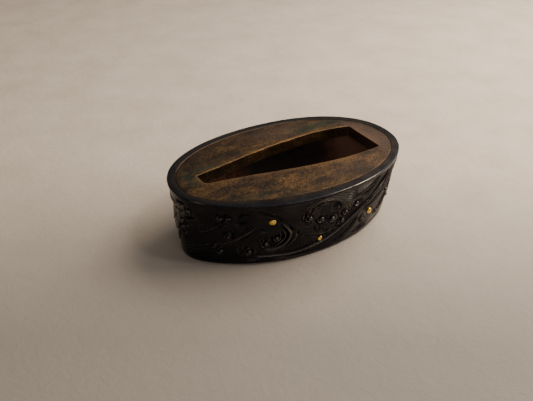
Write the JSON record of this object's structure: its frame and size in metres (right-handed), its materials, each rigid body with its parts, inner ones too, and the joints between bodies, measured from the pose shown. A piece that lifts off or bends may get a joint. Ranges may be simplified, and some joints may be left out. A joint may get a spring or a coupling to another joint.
{
  "type": "sword hilt collar",
  "caption": "Oval, slightly tapered collar for the guard end of a sword hilt: a carved dark metal band open underneath, closed on top by a copper plate with a wedge-shaped tang hole.",
  "frame": {"origin": "middle of the open end, on the plane it stands on", "axes": "+Z along the hilt towards the guard, out of the ceiling plate; +X along the oval towards the spine end of the tang hole; -Y is the front"},
  "size_m": [0.038, 0.0238, 0.0112],
  "materials": {
    "shakudo": "dark patinated copper and gold alloy, carved, satin, worn on the high points",
    "copper": "brown patinated copper, brushed, with spots of verdigris",
    "silver_solder": "dull grey solder",
    "gold": "polished gold inlay"
  },
  "bodies": {
    "root": {"collar_band": "shakudo", "ceiling_plate": "copper", "solder_fillet": "silver_solder", "gold_drop_front_1": "gold", "gold_drop_front_2": "gold", "gold_drop_front_3": "gold", "gold_drop_front_4": "gold", "gold_drop_front_5": "gold", "gold_drop_back_1": "gold", "gold_drop_back_2": "gold", "gold_drop_back_3": "gold", "gold_drop_back_4": "gold"}
  },
  "joints": []
}
